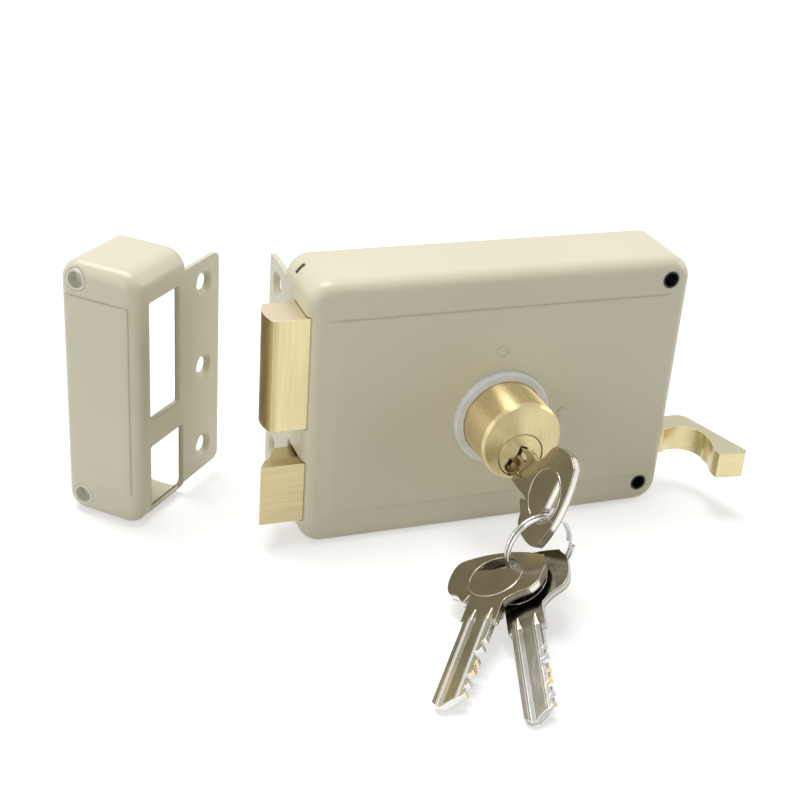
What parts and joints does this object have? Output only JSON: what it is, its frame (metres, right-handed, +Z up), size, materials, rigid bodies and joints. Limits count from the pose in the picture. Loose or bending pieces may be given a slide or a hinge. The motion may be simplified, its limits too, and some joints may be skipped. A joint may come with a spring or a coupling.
{
  "type": "rim box lock",
  "caption": "Surface-mounted rim lock in a pressed box case with key cylinder, dead bolt, sprung latch with pull handle, keeper and keys on a ring.",
  "frame": {"origin": "middle of the case's flat underside, between its front and its back rim", "axes": "+X along the case front to the handle's side, +Y from the front towards the door, +Z up"},
  "size_m": [0.1995, 0.1485, 0.083],
  "materials": {
    "cream_paint": "satin cream powder coat on pressed steel",
    "clear_plastic": "milky translucent plastic cup",
    "grey_plastic": "pale grey moulded plastic",
    "black_steel": "black",
    "bolt_brass": "linished brass with fine parallel brushing",
    "cylinder_brass": "satin turned brass",
    "nickel": "nickel plated key, tumbled",
    "ring_steel": "bright plated spring wire",
    "zinc_steel": "zinc plated steel"
  },
  "bodies": {
    "root": {"case_shell": "cream_paint", "back_plate": "zinc_steel", "plate_studs": "zinc_steel", "plate_screws": "zinc_steel", "fixing_sleeves": "black_steel", "guide_post": "zinc_steel", "detent_pivot": "zinc_steel", "detent_spring": "zinc_steel", "latch_guide_post": "zinc_steel", "latch_spring": "zinc_steel", "spring_stop": "zinc_steel", "cylinder_body": "cylinder_brass", "cylinder_ring": "grey_plastic", "cylinder_nut": "cylinder_brass", "driver_pins": "cylinder_brass", "pin_springs": "zinc_steel", "chamber_plugs": "cylinder_brass", "keeper_shell": "cream_paint", "keeper_screw_caps": "clear_plastic"},
    "deadbolt": {"deadbolt": "bolt_brass", "deadbolt_tail": "zinc_steel", "tail_rivets": "zinc_steel"},
    "latch": {"latch_bolt": "bolt_brass", "latch_bar": "zinc_steel", "latch_rivet": "zinc_steel", "handle_rivet": "zinc_steel", "pull_handle": "bolt_brass"},
    "plug": {"cylinder_plug": "cylinder_brass", "key_pins": "cylinder_brass", "plug_cam": "zinc_steel", "cam_screws": "zinc_steel"},
    "key": {"inserted_key": "nickel"},
    "ring": {"key_ring": "ring_steel"},
    "key_a": {"loose_key_a": "nickel"},
    "key_b": {"loose_key_b": "nickel"},
    "detent": {"detent_lever": "zinc_steel"}
  },
  "joints": [
    {"name": "plug_turn", "type": "hinge", "parent": "root", "child": "plug", "pos_m": [0.001, -0.014, 0.0325], "axis": [0, -1, 0], "range_deg": [-360, 360]},
    {"name": "deadbolt_slide", "type": "slide", "parent": "root", "child": "deadbolt", "axis": [-1, 0, 0], "range_m": [-0.0095, 0.0095]},
    {"name": "latch_slide", "type": "slide", "parent": "root", "child": "latch", "axis": [1, 0, 0], "range_m": [0, 0.0122], "stiffness_N_per_m": 200, "springref_m": -0.01, "deforming": ["latch_spring"]},
    {"name": "detent_swing", "type": "hinge", "parent": "root", "child": "detent", "pos_m": [0.04, 0.00335, 0.072], "axis": [0, 1, 0], "range_deg": [0, 4], "stiffness_Nm_per_rad": 0.05, "springref_deg": -11.46, "deforming": ["detent_spring"]},
    {"name": "key_withdraw", "type": "slide", "parent": "plug", "child": "key", "axis": [0, -1, 0], "range_m": [0, 0.035]},
    {"name": "ring_swing", "type": "hinge", "parent": "key", "child": "ring", "pos_m": [-0.0012, -0.0529, 0.027], "axis": [0, 1, 0], "range_deg": [0, 12]},
    {"name": "key_a_swing", "type": "hinge", "parent": "ring", "child": "key_a", "pos_m": [-0.0124, -0.0537, 0.013], "axis": [0, 0, 1], "range_deg": [0, 12]},
    {"name": "key_b_swing", "type": "hinge", "parent": "ring", "child": "key_b", "pos_m": [-0.008, -0.0542, 0.0085], "axis": [0, 0, 1], "range_deg": [-12, 0]}
  ],
  "couplings": [
    {"joint": "plug_turn", "follows": "deadbolt_slide", "rad_per_m": 661.38}
  ]
}
